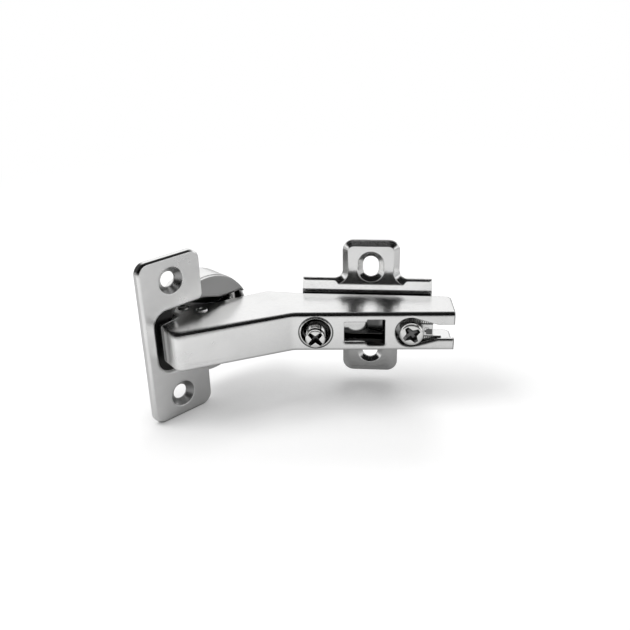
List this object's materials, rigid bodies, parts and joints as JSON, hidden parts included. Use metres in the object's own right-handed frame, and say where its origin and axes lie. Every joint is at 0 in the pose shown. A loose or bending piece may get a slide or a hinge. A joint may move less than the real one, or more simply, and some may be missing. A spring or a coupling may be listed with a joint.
{
  "type": "concealed hinge",
  "caption": "Concealed cabinet hinge with an angled slide-on arm, a round cup casting and a cross-shaped mounting plate; the cup swings on a linkage with a closing spring.",
  "frame": {"origin": "middle of the mounting plate's back face, midway between its two screw slots", "axes": "+X along the plate towards the inside of the cabinet, +Y into the cabinet side the plate is screwed to, +Z along the hinge pins, up in the picture"},
  "size_m": [0.103, 0.0428, 0.0584],
  "materials": {
    "pressed_steel": "bright nickel plate on pressed sheet",
    "cast_zinc": "satin nickel plate on a zinc casting",
    "link_steel": "dull zinc-plated steel",
    "spring_wire": "oiled spring wire",
    "pin_steel": "polished plated pins and rivets",
    "screw_steel": "bright plated screws"
  },
  "bodies": {
    "plate": {"mounting_plate": "pressed_steel"},
    "fixing_screw": {"fixing_screw": "screw_steel"},
    "arm": {"hinge_arm": "pressed_steel", "arm_pin_outer": "pin_steel", "arm_pin_inner": "pin_steel"},
    "overlay_screw": {"overlay_screw": "screw_steel"},
    "outer_link": {"outer_link": "link_steel", "closing_spring": "spring_wire"},
    "inner_link": {"inner_link": "link_steel"},
    "cup": {"hinge_cup": "cast_zinc", "cup_pin": "pin_steel", "cup_rivet_upper": "pin_steel", "cup_rivet_lower": "pin_steel"}
  },
  "joints": [
    {"name": "arm_slide", "type": "slide", "parent": "plate", "child": "arm", "axis": [1, 0, 0], "range_m": [-0.003, 0.0025]},
    {"name": "fixing_screw_turn", "type": "hinge", "parent": "plate", "child": "fixing_screw", "pos_m": [0.0143, -0.018, 0], "axis": [0, -1, 0], "continuous": true},
    {"name": "overlay_screw_turn", "type": "hinge", "parent": "arm", "child": "overlay_screw", "pos_m": [-0.01772, -0.0224, 0], "axis": [0.067, -0.9978, 0], "continuous": true},
    {"name": "outer_link_turn", "type": "hinge", "parent": "arm", "child": "outer_link", "pos_m": [-0.0565, -0.02138, 0], "axis": [0, 0, -1], "range_deg": [-14, 0.5]},
    {"name": "inner_link_turn", "type": "hinge", "parent": "arm", "child": "inner_link", "pos_m": [-0.0634, -0.01967, 0], "axis": [0, 0, -1], "range_deg": [-0.5, 7]},
    {"name": "door_open", "type": "hinge", "parent": "outer_link", "child": "cup", "pos_m": [-0.0503, -0.00703, 0], "axis": [0, 0, -1], "range_deg": [0, 108]}
  ],
  "couplings": [
    {"joint": "outer_link_turn", "follows": "door_open", "ratio": -0.1205},
    {"joint": "inner_link_turn", "follows": "door_open", "ratio": 0.05717}
  ]
}
